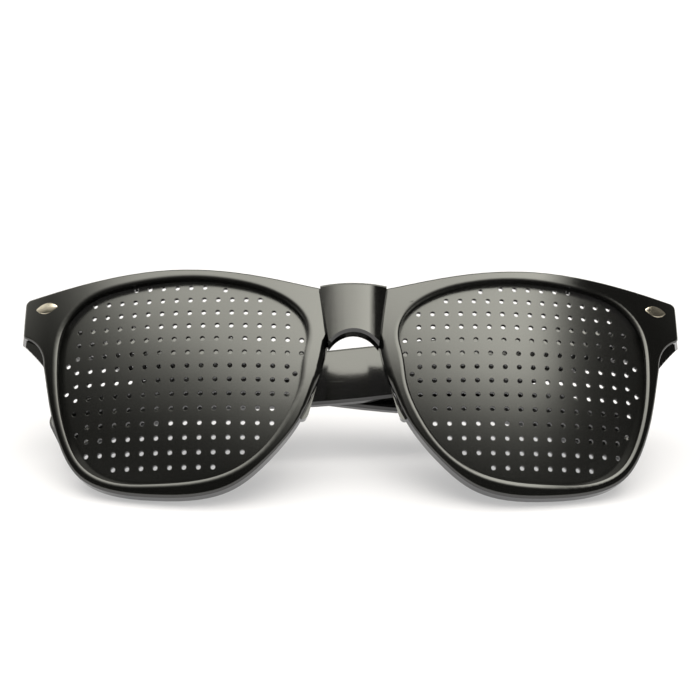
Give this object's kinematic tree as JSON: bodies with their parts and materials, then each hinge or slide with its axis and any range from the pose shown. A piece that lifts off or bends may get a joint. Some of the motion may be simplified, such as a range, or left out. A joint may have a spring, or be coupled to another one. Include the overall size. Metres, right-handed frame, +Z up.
{
  "type": "pinhole glasses",
  "caption": "Pinhole glasses with curved perforated lens plates in a one-piece plastic rim and folding temples, standing folded.",
  "frame": {"origin": "bottom centre of the box round the folded glasses, on the table they stand on", "axes": "+X along the front to the wearer's left, +Y from the front towards the folded temples, +Z up; the front faces -Y and leans back"},
  "size_m": [0.1462, 0.041, 0.0429],
  "materials": {
    "frame_plastic": "polished black moulded plastic",
    "lens_plastic": "satin-gloss opaque black moulded plastic with fine round holes",
    "inlay_metal": "warm bright metal, lightly brushed",
    "hinge_metal": "nickel-plated stamped metal"
  },
  "bodies": {
    "front": {"front_frame": "frame_plastic", "pinhole_lens_left": "lens_plastic", "pinhole_lens_right": "lens_plastic", "inlay_left": "inlay_metal", "inlay_right": "inlay_metal", "front_leaf_left": "hinge_metal", "front_leaf_right": "hinge_metal", "hinge_screw_left": "hinge_metal", "hinge_screw_right": "hinge_metal"},
    "temple_arm_left": {"temple_left": "frame_plastic", "temple_leaf_left": "hinge_metal"},
    "temple_arm_right": {"temple_right": "frame_plastic", "temple_leaf_right": "hinge_metal"}
  },
  "joints": [
    {"name": "temple_left_hinge", "type": "hinge", "parent": "front", "child": "temple_arm_left", "pos_m": [0.0686, 0.0139, 0.02566], "axis": [0, -0.6389, -0.7693], "range_deg": [0, 91.7]},
    {"name": "temple_right_hinge", "type": "hinge", "parent": "front", "child": "temple_arm_right", "pos_m": [-0.0686, 0.0139, 0.02566], "axis": [0, 0.6389, 0.7693], "range_deg": [0, 88.8]}
  ]
}
